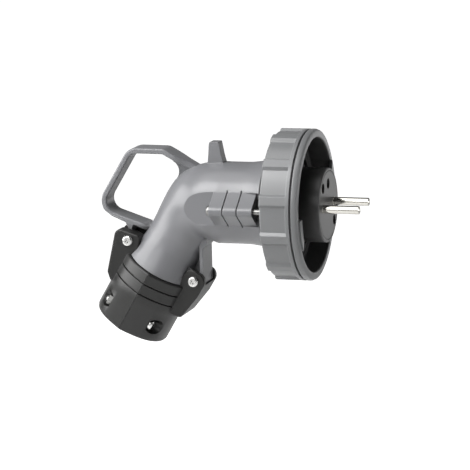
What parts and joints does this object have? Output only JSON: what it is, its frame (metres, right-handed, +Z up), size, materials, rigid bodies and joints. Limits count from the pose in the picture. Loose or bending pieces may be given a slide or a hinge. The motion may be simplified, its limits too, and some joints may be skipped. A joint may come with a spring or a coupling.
{
  "type": "angled_industrial_plug",
  "caption": "Grey angled industrial plug with a ribbed bayonet coupling ring, black contact carrier with long pins, finger loop and a black split cable clamp",
  "frame": {"origin": "centre of the coupling ring's front rim, on the mating axis", "axes": "+X out of the plug along the mating axis, +Z up, the cable leaves down and back in the XZ plane"},
  "size_m": [0.2041, 0.1106, 0.1607],
  "materials": {
    "grey_housing": "moulded, fine grain",
    "grey_ring": "moulded, fine grain",
    "black_shroud": "moulded, satin",
    "black_carrier": "moulded thermoset, satin",
    "black_clamp": "moulded, satin",
    "contact_plating": "nickel plated, turned",
    "contact_brass": "turned",
    "steel": "zinc plated",
    "black_rubber": "matt",
    "washer_plastic": "moulded"
  },
  "bodies": {
    "housing": {"elbow_body": "grey_housing", "shroud": "black_shroud", "contact_carrier": "black_carrier", "terminal_block": "black_carrier", "contact_pin_near": "contact_plating", "contact_pin_far": "contact_plating", "socket_contact_a": "contact_brass", "socket_contact_b": "contact_brass", "socket_contact_c": "contact_brass", "terminal_screws": "steel", "carrier_screws": "steel", "mating_seal": "black_rubber", "flange_gasket": "black_rubber", "flange_screws": "steel", "clamp_half_outer": "black_clamp", "clamp_half_inner": "black_clamp", "ear_screws": "steel", "ear_nuts": "steel", "pinch_screws": "steel", "pinch_nuts": "steel", "cable_grommet": "black_rubber", "grommet_washer": "washer_plastic"},
    "ring": {"coupling_ring": "grey_ring", "ring_clip": "steel"}
  },
  "joints": [
    {"name": "ring_turn", "type": "hinge", "parent": "housing", "child": "ring", "pos_m": [0, 0, 0], "axis": [1, 0, 0], "range_deg": [0, 45]}
  ]
}
